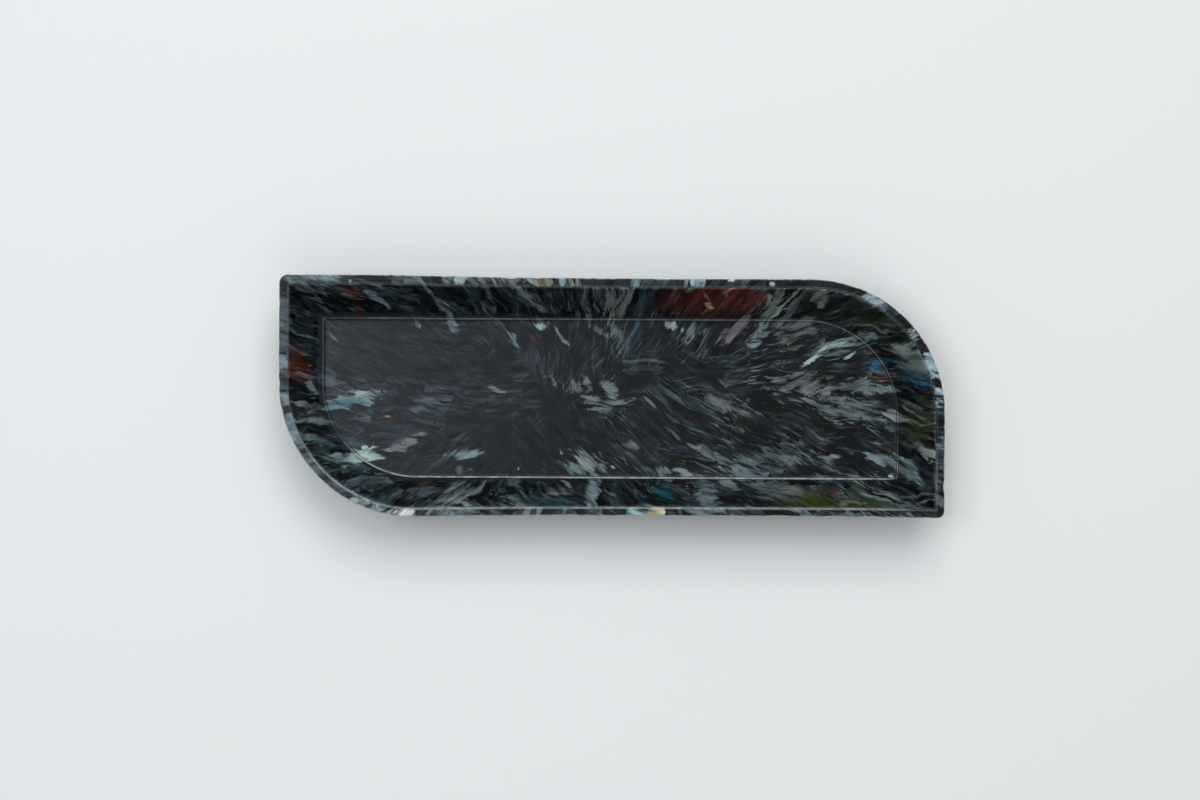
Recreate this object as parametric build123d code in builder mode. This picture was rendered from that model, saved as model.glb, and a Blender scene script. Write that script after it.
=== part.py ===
"""Pen tray: a pressed shell of recycled plastic with a leaf-shaped plan, on four stick-on feet.

Millimetres, +Z up. The origin is on the desk under the middle of the tray, and +X runs along its length.
The plan is a long rectangle with two opposite corners rounded broadly and the other two left tight.
"""

import os
from math import cos, radians, sqrt, tan

from build123d import *

# Plan of the finished rim
tray_length = 220.0
tray_width = 80.0
round_corner_radius = 45.0  # the two broad corners, front left and back right
tight_corner_radius = 3.0  # outside of the two tight corners, front right and back left

# Shell
body_height = 20.0  # underside to rim
floor_thickness = 3.0
wall_thickness = 2.6  # square to the wall
wall_draft = 30.0  # lean of the walls, in degrees from upright
inner_corner_radius = 1.0  # inside of the two tight corners
rim_inner_edge_radius = 0.5
rim_outer_edge_radius = 0.4
base_edge_radius = 1.2  # where the wall turns under

# Seam line: a low rounded rib round the floor, left by the joint in the press tool
seam_gap = 0.15  # flat strip between the foot of the wall and the rib
seam_width = 1.0
seam_height = 0.35
seam_edge_radius = 0.3

# Feet
foot_diameter = 8.0
foot_height = 2.0
foot_taper = 8.0
foot_edge_chamfer = 0.5
foot_edge_margin = 5.0  # from a foot to the edge of the underside

# Worked out from the sizes above
rim_level = foot_height + body_height
floor_level = foot_height + floor_thickness
well_depth = body_height - floor_thickness
rim_width = wall_thickness / cos(radians(wall_draft))
# Easing the rim's sharp outer edge shortens the tray by this much on each side.
rim_edge_loss = rim_outer_edge_radius / tan(radians(90 - wall_draft) / 2) - rim_outer_edge_radius
# Insets from the finished rim's plan
base_inset = body_height * tan(radians(wall_draft)) - rim_edge_loss
well_inset = rim_width - rim_edge_loss
floor_inset = well_inset + well_depth * tan(radians(wall_draft))

rim_plane = Plane.XY.offset(rim_level)
round_diagonal = Axis((0, 0, 0), (1, 1, 0))  # runs through the two broad corners
tight_diagonal = Axis((0, 0, 0), (-1, 1, 0))  # runs through the two tight corners


def leaf_outline(inset):
    """Draws the finished rim's plan, moved inwards by the inset, in the sketch that is open."""
    Rectangle(tray_length - 2 * inset, tray_width - 2 * inset)
    broad = vertices().sort_by(round_diagonal)
    fillet([broad[0], broad[-1]], round_corner_radius - inset)


def side_faces(candidates):
    """The faces that stand up, without a floor, an underside or a rim."""
    return candidates.filter_by(Axis.Z, reverse=True)


def tight_corner_edges(rank):
    """The leaning edges in the two tight corners: rank 0 is the outside pair, rank 1 the inside pair."""
    leaning = edges().filter_by(lambda edge: abs(edge.tangent_at(0.5).Z) > 0.5)
    along = leaning.sort_by(tight_diagonal)
    return [along[rank], along[-1 - rank]]


def foot_places():
    """Centre of each foot, the same margin in from the underside's edge at all four corners."""
    setback = base_inset + foot_edge_margin + foot_diameter / 2
    tight_x = tray_length / 2 - setback
    tight_y = tray_width / 2 - setback
    # In a broad corner the foot lies on the arc's own diagonal.
    reach = (round_corner_radius - setback) / sqrt(2)
    round_x = tray_length / 2 - round_corner_radius + reach
    round_y = tray_width / 2 - round_corner_radius + reach
    return {
        "foot_back_left": (-tight_x, tight_y),
        "foot_back_right": (round_x, round_y),
        "foot_front_left": (-round_x, -round_y),
        "foot_front_right": (tight_x, -tight_y),
    }


# Tray body
with BuildPart() as tray_body:
    # An upright block with an upright well
    with BuildSketch(rim_plane):
        leaf_outline(inset=-rim_edge_loss)
    extrude(amount=-body_height)
    with BuildSketch(rim_plane):
        leaf_outline(inset=well_inset)
    extrude(amount=-well_depth, mode=Mode.SUBTRACT)

    # Draft: the inside and then the outside lean in from the rim, so that the wall keeps one thickness
    draft(side_faces(faces(Select.LAST)), rim_plane, wall_draft)
    outer_sides = side_faces(faces()).group_by(lambda face: face.bounding_box().min.Z)[0]
    draft(outer_sides, rim_plane, -wall_draft)

    # Corners and edges
    fillet(tight_corner_edges(rank=1), inner_corner_radius)
    fillet(tight_corner_edges(rank=0), tight_corner_radius)
    fillet(faces().sort_by(Axis.Z)[0].edges(), base_edge_radius)
    fillet(faces().sort_by(Axis.Z)[-1].inner_wires()[0].edges(), rim_inner_edge_radius)
    fillet(faces().sort_by(Axis.Z)[-1].outer_wire().edges(), rim_outer_edge_radius)

    # Seam line, just inside the foot of the wall
    with BuildSketch(Plane.XY.offset(floor_level)):
        leaf_outline(inset=floor_inset + seam_gap)
        tight = vertices().sort_by(tight_diagonal)
        fillet([tight[0], tight[-1]], inner_corner_radius)
        offset(amount=-seam_width, kind=Kind.INTERSECTION, mode=Mode.SUBTRACT)
    extrude(amount=seam_height)
    fillet(faces(Select.LAST).sort_by(Axis.Z)[-1].edges(), seam_edge_radius)

os.makedirs("parts", exist_ok=True)
tray_body.part.label = "tray_body"
export_step(tray_body.part, "parts/tray_body.step")

# Feet
for foot_name, (foot_x, foot_y) in foot_places().items():
    with BuildPart() as foot:
        with BuildSketch(Plane((foot_x, foot_y, foot_height))):
            Circle(foot_diameter / 2)
        extrude(amount=-foot_height, taper=foot_taper)
        chamfer(edges().group_by(Axis.Z)[0], foot_edge_chamfer)
    foot.part.label = foot_name
    export_step(foot.part, f"parts/{foot_name}.step")
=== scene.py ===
import math
import bpy
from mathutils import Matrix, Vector, noise


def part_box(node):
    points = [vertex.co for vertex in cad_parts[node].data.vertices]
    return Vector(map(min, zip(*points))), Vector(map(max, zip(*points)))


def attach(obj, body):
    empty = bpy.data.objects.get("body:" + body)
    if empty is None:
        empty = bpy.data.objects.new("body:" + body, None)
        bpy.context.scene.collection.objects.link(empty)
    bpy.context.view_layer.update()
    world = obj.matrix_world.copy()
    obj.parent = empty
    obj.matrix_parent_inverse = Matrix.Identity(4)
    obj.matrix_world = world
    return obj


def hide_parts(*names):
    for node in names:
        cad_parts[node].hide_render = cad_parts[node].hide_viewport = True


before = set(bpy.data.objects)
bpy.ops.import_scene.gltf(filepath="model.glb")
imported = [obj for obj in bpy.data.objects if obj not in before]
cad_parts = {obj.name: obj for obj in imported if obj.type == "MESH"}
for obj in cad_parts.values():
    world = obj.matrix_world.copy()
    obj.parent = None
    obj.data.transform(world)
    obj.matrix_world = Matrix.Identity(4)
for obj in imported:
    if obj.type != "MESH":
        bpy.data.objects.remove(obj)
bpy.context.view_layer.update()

mm = 0.001
print("frame loaded:", ", ".join(sorted(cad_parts)))


# Tray moulding, in mm

trayLow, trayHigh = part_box("tray_body")
trayShape = {
    "halfLength": trayHigh.x / mm,
    "halfWidth": trayHigh.y / mm,
    "rimLevel": trayHigh.z / mm,
    "baseLevel": trayLow.z / mm,
    "broadRadius": 45.0,         # front left and back right corners, at the rim
    "tightRadius": 3.0,          # outside of the other two corners
    "innerTightRadius": 1.0,
    "wallLean": 30.0,            # degrees from upright
    "wallThickness": 2.6,
    "floorThickness": 3.0,
    "rimInnerRound": 1.0,
    "rimOuterRound": 0.4,
    "baseRound": 1.2,
    "seamGap": 0.1,
    "seamWidth": 1.4,
    "seamHeight": 0.32,
    "seamPeak": 1.3,             # the higher, the narrower the seam line's crest
    "seamApron": 0.9,            # flat floor beside the seam line, in seam widths
    "floorShift": (-0.4, -0.5),  # the floor sits a little off the middle of the rim
    "floorStretch": 0.3,
    # The long sides draw in as the shell cools: middle of the bow along X, its reach and its depth
    "backBow": (28.0, 100.0, 0.8),
    "frontBow": (35.0, 105.0, 0.8),
    "rimWave": (0.05, 14.0),     # depth and length of the small waves in the rim
    "rimSink": (0.12, 25.0),     # depth and length of the rim's dips
    "nickDepth": 0.4,
    "nickLength": 2.6,
    "nickReach": 2.2,            # how far a nick runs down the outside
    "nickOnRim": 0.3,            # share of a nick that reaches the top of the rim
    # Larger nicks in the outer edge: place, half length, depth
    "nicks": [(-33.5, 40, 2.0, 0.4), (-13.5, -40, 3.5, 0.35), (55, -40, 4.0, 0.45), (110, -29, 2.0, 0.45),
              (-110, 4, 2.2, 0.3), (-110, 8, 1.0, 0.2), (-101, -19, 1.6, 0.3), (18, 40, 1.8, 0.3)],
    # Fineness of the mesh
    "pointSpacing": 0.7,
    "cornerSteps": 5,
    "seamSteps": 10,
    "wallSteps": 12,
    "roundSteps": 5,
    "rimSteps": 4,
    "outerRoundSteps": 6,
    "outsideSteps": 14,
    "rungSteps": 24,
}


def halfOutline(shape, inset, tight, counts):
    # From the middle of the back left corner, along the back and the right side, to the front right corner
    a = shape["halfLength"] - inset
    b = shape["halfWidth"] - inset
    broad = shape["broadRadius"] - inset
    points = []

    def arc(x, y, radius, start, end, count):
        for step in range(count):
            turn = math.radians(start + (end - start) * step / count)
            nx, ny = math.cos(turn), math.sin(turn)
            points.append((x + radius * nx, y + radius * ny, nx, ny))

    def run(x0, y0, x1, y1, nx, ny, count):
        for step in range(count):
            part = step / count
            points.append((x0 + (x1 - x0) * part, y0 + (y1 - y0) * part, nx, ny))

    arc(tight - a, b - tight, tight, 135, 90, counts["corner"])
    run(tight - a, b, a - broad, b, 0, 1, counts["back"])
    arc(a - broad, b - broad, broad, 90, 0, counts["broad"])
    run(a, b - broad, a, tight - b, 1, 0, counts["side"])
    arc(a - tight, tight - b, tight, 0, -45, counts["corner"])
    return points


def outline(shape, inset, tight, counts):
    half = halfOutline(shape, inset, tight, counts)
    return half + [(-x, -y, -nx, -ny) for x, y, nx, ny in half]


def trayRings(shape):
    # One section of the shell, from the floor over the rim to the underside. Each ring has its inset, level
    # and corner radius, and its share of the nicks, of the bow and of the floor's shift
    slant = math.radians(shape["wallLean"])
    lean = math.tan(slant)
    bend = math.tan((math.pi / 2 - slant) / 2)  # from a sharp edge to its round's start, per mm of radius
    rim, base = shape["rimLevel"], shape["baseLevel"]
    floor = base + shape["floorThickness"]
    outerRound, innerRound, baseRound = shape["rimOuterRound"], shape["rimInnerRound"], shape["baseRound"]
    edgeLoss = outerRound / bend - outerRound
    rimInset = shape["wallThickness"] / math.cos(slant) - edgeLoss
    floorInset = rimInset + (rim - floor) * lean
    baseInset = (rim - base) * lean - edgeLoss
    inner, outer = shape["innerTightRadius"], shape["tightRadius"]
    rings = []

    # Seam line just inside the foot of the wall
    width, count = shape["seamWidth"], shape["seamSteps"]
    seamMiddle = floorInset + shape["seamGap"] + width / 2
    rings.append((seamMiddle + shape["seamApron"] * width, floor, inner, 0, 0, 1))
    for step in range(count + 1):
        part = step / count
        rise = shape["seamHeight"] * math.sin(math.pi * part) ** shape["seamPeak"]
        rings.append((seamMiddle + (0.5 - part) * width, floor + rise, inner, 0, 0, 1))
    rings.append((floorInset, floor + 0.03, inner, 0, 0, 1))

    # Inside of the wall, up to the rim's inner edge
    reach = innerRound * bend
    wallTop = rim - reach * math.cos(slant)
    count = shape["wallSteps"]
    for step in range(1, count + 1):
        climb = (wallTop - floor) * (step / count) ** 0.9
        shift = 1 - climb / (rim - floor)
        rings.append((floorInset - climb * lean, floor + climb, inner, 0, step / count, shift))
    edgeInset = rimInset - reach
    count = shape["roundSteps"]
    for step in range(1, count + 1):
        turn = -slant + (math.pi / 2 + slant) * step / count
        level = rim - innerRound + innerRound * math.sin(turn)
        rings.append((edgeInset + innerRound * math.cos(turn), level, inner, 0, 1, 0))

    # Rim and its outer edge
    count = shape["rimSteps"]
    onRim = shape["nickOnRim"]
    for step in range(1, count + 1):
        part = step / count
        inset = edgeInset + (outerRound - edgeInset) * part
        rings.append((inset, rim, inner + (outer - inner) * part, onRim * part ** 2, 1, 0))
    count = shape["outerRoundSteps"]
    for step in range(1, count + 1):
        turn = math.pi / 2 - (math.pi / 2 + slant) * step / count
        level = rim - outerRound + outerRound * math.sin(turn)
        nick = onRim + (1 - onRim) * min(1, 2 * step / count)
        rings.append((outerRound - outerRound * math.cos(turn), level, outer, nick, 1, 0))

    # Outside of the wall, and under
    wallFoot = base + baseRound * bend * math.cos(slant)
    start = rim - outerRound - outerRound * math.sin(slant)
    count = shape["outsideSteps"]
    for step in range(1, count + 1):
        level = start + (wallFoot - start) * (step / count) ** 1.3
        fade = max(0, 1 - (start - level) / shape["nickReach"])
        rings.append(((rim - level) * lean - edgeLoss, level, outer, fade, 1 - step / count, 0))
    under = baseInset + baseRound * bend
    count = shape["roundSteps"]
    for step in range(1, count + 1):
        turn = -slant - (math.pi / 2 - slant) * step / count
        level = base + baseRound + baseRound * math.sin(turn)
        rings.append((under - baseRound * math.cos(turn), level, outer, 0, 0, 0))
    rings.append((under + 1.5, base, outer, 0, 0, 0))
    return rings


def rimNicks(shape, counts):
    # How far the worn outer edge steps in at each point round the rim
    depths = []
    for x, y, *_ in outline(shape, 0, shape["tightRadius"], counts):
        spot = Vector((x, y, 0)) / shape["nickLength"]
        chip = max(0, noise.noise(spot) - 0.15) * 1.6
        fray = 0.5 + 0.5 * noise.noise(spot * 2.7 + Vector((9, 4, 2)))
        worn = 0.3 + 0.7 * max(0, noise.noise(spot * 0.12 + Vector((1, 7, 3))) * 2 + 0.3)  # worn stretches
        depth = shape["nickDepth"] * min(1, (chip * fray + 0.10 * fray) * worn)
        for nickX, nickY, reach, cut in shape["nicks"]:
            apart = math.hypot(x - nickX, y - nickY) / reach
            depth += cut * max(0, 1 - apart * apart) * (0.6 + 0.4 * fray)
        depths.append(depth)
    return depths


def sideBow(bow, x):
    middle, reach, depth = bow
    return depth * max(0, 1 - abs((x - middle) / reach) ** 3)


def buildTray(shape):
    spacing = shape["pointSpacing"]
    a, b, broad = shape["halfLength"], shape["halfWidth"], shape["broadRadius"]
    counts = {
        "corner": shape["cornerSteps"],
        "back": round((2 * a - broad) / spacing),
        "broad": round(math.pi / 2 * broad / spacing),
        "side": round((2 * b - broad) / spacing),
    }
    nicks = rimNicks(shape, counts)
    waveDepth, waveLength = shape["rimWave"]
    sinkDepth, sinkLength = shape["rimSink"]
    floorX, floorY = shape["floorShift"]
    verts, faces, loops = [], [], []
    for inset, level, tight, nick, bow, shift in trayRings(shape):
        loop = []
        for index, (x, y, nx, ny) in enumerate(outline(shape, inset, tight, counts)):
            side = shape["backBow"] if ny > 0 else shape["frontBow"]
            draw = bow * abs(ny) ** 4 * sideBow(side, x)
            wave = bow * waveDepth * (1 + noise.noise(Vector((x, y, 40)) / waveLength))
            step = -(draw + wave + nick * nicks[index])
            sink = bow * bow * sinkDepth * (0.5 + 0.5 * noise.noise(Vector((x, y, 7)) / sinkLength))
            stretch = shape["floorStretch"] * x / a
            loop.append(len(verts))
            outX = x + nx * step + shift * (floorX + stretch)
            outY = y + ny * step + shift * floorY
            verts.append((outX, outY, level - sink))
        loops.append(loop)
    size = len(loops[0])
    for near, far in zip(loops, loops[1:]):
        for index in range(size):
            after = (index + 1) % size
            faces.append((near[index], near[after], far[after], far[index]))

    def closeLoop(loop, flip):
        # Rungs from one half of the loop to the other
        half = size // 2
        count = shape["rungSteps"]
        rungs = [[loop[0]]]
        for index in range(1, half):
            first, last = Vector(verts[loop[index]]), Vector(verts[loop[size - index]])
            rung = [loop[index]]
            for step in range(1, count):
                rung.append(len(verts))
                verts.append(tuple(first.lerp(last, step / count)))
            rungs.append(rung + [loop[size - index]])
        rungs.append([loop[half]])
        for one, two in zip(rungs, rungs[1:]):
            for step in range(count):
                corners = [one[min(step, len(one) - 1)], one[min(step + 1, len(one) - 1)],
                           two[min(step + 1, len(two) - 1)], two[min(step, len(two) - 1)]]
                corners = list(dict.fromkeys(corners))
                faces.append(tuple(reversed(corners)) if flip else tuple(corners))

    closeLoop(loops[0], False)
    closeLoop(loops[-1], True)
    mesh = bpy.data.meshes.new("trayMoulding")
    mesh.from_pydata([Vector(point) * mm for point in verts], [], faces)
    mesh.validate()
    mesh.shade_smooth()
    tray = bpy.data.objects.new("trayMoulding", mesh)
    bpy.context.collection.objects.link(tray)
    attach(tray, "root")
    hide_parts("tray_body")
    return tray


tray = buildTray(trayShape)
print("tray moulding:", len(tray.data.vertices), "points,", len(tray.data.polygons), "faces")


# Helpers for shader nodes: a value is either a number or another node's socket

def feed(tree, socket, value):
    if isinstance(value, bpy.types.NodeSocket):
        tree.links.new(value, socket)
    else:
        socket.default_value = value


def maths(tree, operation, *values):
    node = tree.nodes.new("ShaderNodeMath")
    node.operation = operation
    for index, value in enumerate(values):
        feed(tree, node.inputs[index], value)
    return node.outputs[0]


def times(tree, first, *others):
    for value in others:
        first = maths(tree, "MULTIPLY", first, value)
    return first


def vectors(tree, operation, *values, result="Vector"):
    node = tree.nodes.new("ShaderNodeVectorMath")
    node.operation = operation
    for index, value in enumerate(values):
        feed(tree, node.inputs[index], value)
    return node.outputs[result]


def dot(tree, first, second):
    return vectors(tree, "DOT_PRODUCT", first, second, result="Value")


def combine(tree, x, y, z):
    node = tree.nodes.new("ShaderNodeCombineXYZ")
    for index, value in enumerate((x, y, z)):
        feed(tree, node.inputs[index], value)
    return node.outputs[0]


def separate(tree, vector):
    node = tree.nodes.new("ShaderNodeSeparateXYZ")
    feed(tree, node.inputs[0], vector)
    return node.outputs[0], node.outputs[1], node.outputs[2]


def evenly(tree, value):
    return combine(tree, value, value, value)


def ramp(tree, value, low, high, bottom=0.0, top=1.0):
    node = tree.nodes.new("ShaderNodeMapRange")
    labels = ("Value", "From Min", "From Max", "To Min", "To Max")
    for label, number in zip(labels, (value, low, high, bottom, top)):
        feed(tree, node.inputs[label], number)
    return node.outputs["Result"]


def noiseField(tree, vector, scale, detail, roughness, result="Fac", twist=0.0):
    node = tree.nodes.new("ShaderNodeTexNoise")
    node.inputs["Distortion"].default_value = twist
    feed(tree, node.inputs["Vector"], vector)
    feed(tree, node.inputs["Scale"], scale)
    feed(tree, node.inputs["Detail"], detail)
    feed(tree, node.inputs["Roughness"], roughness)
    return node.outputs[result]


def drift(tree, vector, scale, detail, roughness):
    # A noise that moves a point either way
    cloud = noiseField(tree, vector, scale, detail, roughness, "Color")
    return vectors(tree, "SUBTRACT", cloud, (0.5, 0.5, 0.5))


def cellField(tree, vector):
    node = tree.nodes.new("ShaderNodeTexVoronoi")
    node.inputs["Scale"].default_value = 1.0
    feed(tree, node.inputs["Vector"], vector)
    return node.outputs


def blendColours(tree, factor, first, second):
    node = tree.nodes.new("ShaderNodeMix")
    node.data_type = "RGBA"
    feed(tree, node.inputs[0], factor)
    feed(tree, node.inputs[6], first)  # the colour pair of the node's several A and B sockets
    feed(tree, node.inputs[7], second)
    return node.outputs[2]


def toLinear(colour):
    parts = [value / 255 for value in colour]
    return (*[part / 12.92 if part <= 0.04045 else ((part + 0.055) / 1.055) ** 2.4 for part in parts], 1)


def newGroup(name, inputs, outputs):
    group = bpy.data.node_groups.new(name, "ShaderNodeTree")
    for label, kind in inputs.items():
        group.interface.new_socket(label, in_out="INPUT", socket_type="NodeSocket" + kind)
    for label, kind in outputs.items():
        group.interface.new_socket(label, in_out="OUTPUT", socket_type="NodeSocket" + kind)
    return group, group.nodes.new("NodeGroupInput").outputs, group.nodes.new("NodeGroupOutput").inputs


def placeGroup(tree, group, **values):
    node = tree.nodes.new("ShaderNodeGroup")
    node.node_tree = group
    for label, value in values.items():
        feed(tree, node.inputs[label], value)
    return node.outputs


def newMaterial(name):
    material = bpy.data.materials.new(name)
    material.use_nodes = True
    shader = material.node_tree.nodes["Principled BSDF"]
    return material, material.node_tree, shader


def placeInMm(tree):
    coordinates = tree.nodes.new("ShaderNodeTexCoord").outputs
    return vectors(tree, "MULTIPLY", coordinates["Object"], (1000, 1000, 1000)), coordinates["Normal"]


# Moulded skin, for the plastic and the rubber: fine grain and handling marks, in mm

def skinGroup():
    tree, given, made = newGroup("mouldedSkin", {"Place": "Vector", "Grain": "Float"},
                                 {"Height": "Float", "Wear": "Float"})
    fine = noiseField(tree, given["Place"], maths(tree, "DIVIDE", 1.0, given["Grain"]), 2.0, 0.5)
    broad = noiseField(tree, given["Place"], 0.16, 3.0, 0.55)
    feed(tree, made["Height"], maths(tree, "MULTIPLY_ADD", broad, 2.0, fine))
    feed(tree, made["Wear"], noiseField(tree, given["Place"], 0.45, 5.0, 0.7))
    return tree


mouldedSkin = skinGroup()


def finishSkin(tree, shader, skin, look):
    feed(tree, shader.inputs["Roughness"], ramp(tree, skin["Wear"], 0.3, 0.7, *look["roughness"]))
    shader.inputs["Specular IOR Level"].default_value = look["gloss"]
    bump = tree.nodes.new("ShaderNodeBump")
    bump.inputs["Strength"].default_value = look["bump"]
    bump.inputs["Distance"].default_value = 0.00004
    feed(tree, bump.inputs["Height"], skin["Height"])
    feed(tree, shader.inputs["Normal"], bump.outputs[0])


# Marbled plastic: streaks drawn outwards from the middle when the hot mix was pressed

marble = {
    "baseColours": ((8, 12, 15), (14, 16, 18)),
    "slant": 0.5,                # slant of the line in the middle that the strokes run out from
    "strokeSpan": 35.0,          # mm, half the length of that line
    "flowSpan": 30.0,            # mm, the same for the blocks of colour across the rim
    "swing": 0.6,                # how far a patch of strokes may turn from the flow
    "patches": (23.0, 15.0),     # mm, across a patch of broad or narrow strokes
    "broadFrom": 1.6,            # mm, streaks wider than this lie in the broad patches
    "ragged": 9.0,               # mm, how uneven a patch's edge is
    # Along the front the strokes lie over. Each zone: from, to across the tray, from, to along it, strength
    "frontFloor": ((-10.0, -20.0), (-46.0, -38.0), 1.0),
    "frontWall": ((-22.0, -27.0), (-44.0, -36.0), 2.5),
    "frontFade": (-15.0, 60.0, 1.0, 0.65),
    "frontPull": 2.2,
    "middlePull": (-62.0, -40.0, -0.5, 0.5),
    "frontHeading": (0.95, -0.31, 0),
    "frontLeft": ((-12.0, -22.0), (-42.0, -48.0), 3.0),
    "leftHeading": (-1, -0.22, 0),
    # Waves in the pattern: how many per mm, and how far they reach in mm
    "wander": (0.06, 5.0),       # of a stroke
    "curl": (0.25, 0.7),         # of its edge
    "waver": (0.2, 3.0),         # of a smear's outline
    "twist": 0.5,
    "outsideShift": 23.0,        # mm, sets the outside's streaks apart from the inside's
    "rightward": (-25.0, 45.0),  # mm along X, from the calm left half to the lively right half
    "calm": (0.18, 0.62),        # strength left to the streaks on the floor, at the left and at the right
    "bareness": (0.25, 1.1),     # strength in bare and in dense stretches
    # Painted sheen: the floor's left half is greyed where the overhead light's reflection lies
    "floorSheenGrey": (40, 45, 52),   # the floor's left half is greyer
    "sheenStrength": 0.9,
    "sheenReach": (-100.0, 30.0),
    "cuts": 0.55,                # how deep the dark fibres cut into the colours
    "smearFray": 1.35,
    "smearEnds": 1.5,            # the higher, the blunter the ends
    "chipEnds": 4.0,
    # Pale rim edges and seam crest: partly wear, partly a painted highlight, most at the front where the back
    # light catches them
    "edgeWearAndHighlight": (0.65, 0.95),    # paler rim edges and seam line, most at the front
    "wornHighlightColour": (158, 166, 168),
    # Painted shade along the seam line's flanks
    "scuffColour": (186, 194, 195),
    "seamShadeColour": (8, 9, 11),
    "grain": 0.35,               # mm, fine grain of the pressed skin
    "roughness": (0.27, 0.38),
    "gloss": 0.135,
    "bump": 0.45,
    # Streaks all over: colour, width, length (mm), threshold, softness, and strength at the left, at the
    # right and on the outside
    "streaks": {
        "slate": ((60, 70, 77), 4.4, 24, 0.50, 0.10, 0.65, 0.5, 0.8),
        "teal": ((46, 74, 83), 2.8, 19, 0.55, 0.08, 0.65, 0.55, 0.8),
        "taupe": ((86, 88, 88), 2.8, 17, 0.57, 0.08, 0.12, 0.45, 0.75),
        "sage": ((90, 104, 102), 3.0, 17, 0.59, 0.08, 0.2, 0.5, 0.75),
        "rust": ((92, 38, 26), 6.0, 16, 0.64, 0.14, 0.2, 0.2, 0.85),
        "olive": ((54, 58, 32), 5.0, 16, 0.63, 0.14, 0.05, 0.4, 0.85),
        "blue": ((34, 80, 104), 2.4, 10, 0.64, 0.06, 0.35, 0.3, 0.8),
        "pale": ((118, 140, 146), 1.7, 13, 0.59, 0.07, 0.6, 0.6, 0.8),
        "filament": ((158, 172, 172), 0.6, 10, 0.60, 0.07, 0.3, 0.55, 0.7),
        "white": ((196, 202, 198), 0.9, 3.0, 0.71, 0.03, 0.4, 0.4, 0.7),
    },
}

# Blocks of colour across the rim, where the streaks end
rimBlocks = {
    "column": (1.7, 1.7, 10.2),               # mm, size of a block
    "rightEnd": (40.0, 105.0, 0.0, -0.4),     # darker from here to here along X
    "chipWidth": 4.6,
    "specks": ("white", "mint"),              # short chips of these are specks
    "speckLength": 2.2,
    "speckWidth": 1.2,
    # Where each colour's share of the blocks starts, and the colour
    "colours": [(0.0, (10, 12, 14)), (0.33, (30, 34, 39)), (0.54, (51, 58, 66)), (0.71, (78, 89, 97)),
                (0.81, (59, 55, 53)), (0.88, (100, 117, 123)), (0.975, (150, 162, 162))],
}

# Colours of the larger smears, as sRGB, and how softly they end
smearColours = {
    "ink": ((14, 16, 18), 0.5),
    "slate": ((76, 86, 94), 0.5),
    "paleSlate": ((108, 128, 134), 0.4),
    "paleBlue": ((134, 158, 168), 0.35),
    "mint": ((152, 174, 170), 0.35),
    "white": ((204, 210, 207), 0.25),
    "tealGrey": ((60, 86, 94), 0.5),
    "deepTeal": ((20, 78, 92), 0.6),
    "blue": ((40, 90, 116), 0.6),
    "navy": ((30, 50, 70), 0.8),
    "sage": ((98, 112, 110), 0.4),
    "paleSage": ((120, 132, 127), 0.35),
    "taupe": ((99, 102, 102), 0.4),
    "lilac": ((112, 110, 114), 0.35),
    "rust": ((110, 48, 32), 0.9),
    "cloud": ((66, 74, 82), 1.5),
    "brown": ((62, 48, 42), 0.6),
    "pink": ((168, 130, 120), 0.35),
    "copper": ((204, 158, 130), 0.3),
    "olive": ((55, 65, 31), 0.45),
    "green": ((40, 47, 28), 0.55),
    "cream": ((184, 182, 146), 0.3),
    "gold": ((186, 138, 62), 0.3),
}

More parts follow.
